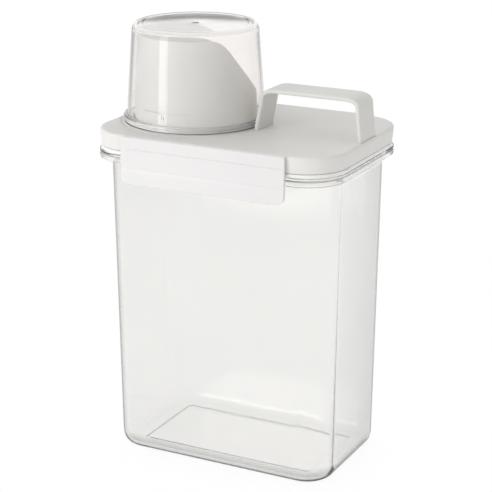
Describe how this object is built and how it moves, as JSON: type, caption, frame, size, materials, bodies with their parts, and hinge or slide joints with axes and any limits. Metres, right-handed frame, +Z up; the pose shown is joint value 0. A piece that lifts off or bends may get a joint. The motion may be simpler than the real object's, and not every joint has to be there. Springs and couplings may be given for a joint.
{
  "type": "cereal dispenser",
  "caption": "Clear upright food container with a white latched lid, carrying handle, pouring spout and an upturned clear measuring cup that covers the spout.",
  "frame": {"origin": "on the resting surface, under the middle of the container's base", "axes": "+Z up; X along the container's long side, with the spout and cup on -X and the handle on +X; -Y is the front, and each long side has a latch"},
  "size_m": [0.165, 0.1222, 0.2729],
  "materials": {
    "clear_body": "clear moulded plastic, smooth gloss",
    "clear_cup": "clear moulded plastic with a warm cast, smooth gloss",
    "white_lid": "white satin polypropylene",
    "white_latch": "white satin polypropylene",
    "white_handle": "white satin polypropylene",
    "white_spout": "white semi-gloss polypropylene",
    "silicone_seal": "translucent white silicone"
  },
  "bodies": {
    "container_body": {"container": "clear_body"},
    "lid_body": {"lid": "white_lid", "lid_gasket": "silicone_seal", "handle": "white_handle", "pour_spout": "white_spout", "cup_seal": "silicone_seal"},
    "front_latch_body": {"latch_front": "white_latch"},
    "rear_latch_body": {"latch_rear": "white_latch"},
    "cup_body": {"measuring_cup": "clear_cup"}
  },
  "joints": [
    {"name": "lid_lift", "type": "slide", "parent": "container_body", "child": "lid_body", "axis": [0, 0, 1], "range_m": [0, 0.06]},
    {"name": "cup_lift", "type": "slide", "parent": "lid_body", "child": "cup_body", "axis": [0, 0, 1], "range_m": [0, 0.07]},
    {"name": "latch_front_hinge", "type": "hinge", "parent": "lid_body", "child": "front_latch_body", "pos_m": [0, -0.05885, 0.2118], "axis": [-1, 0, 0], "range_deg": [0, 110]},
    {"name": "latch_rear_hinge", "type": "hinge", "parent": "lid_body", "child": "rear_latch_body", "pos_m": [0, 0.05885, 0.2118], "axis": [1, 0, 0], "range_deg": [0, 110]}
  ]
}
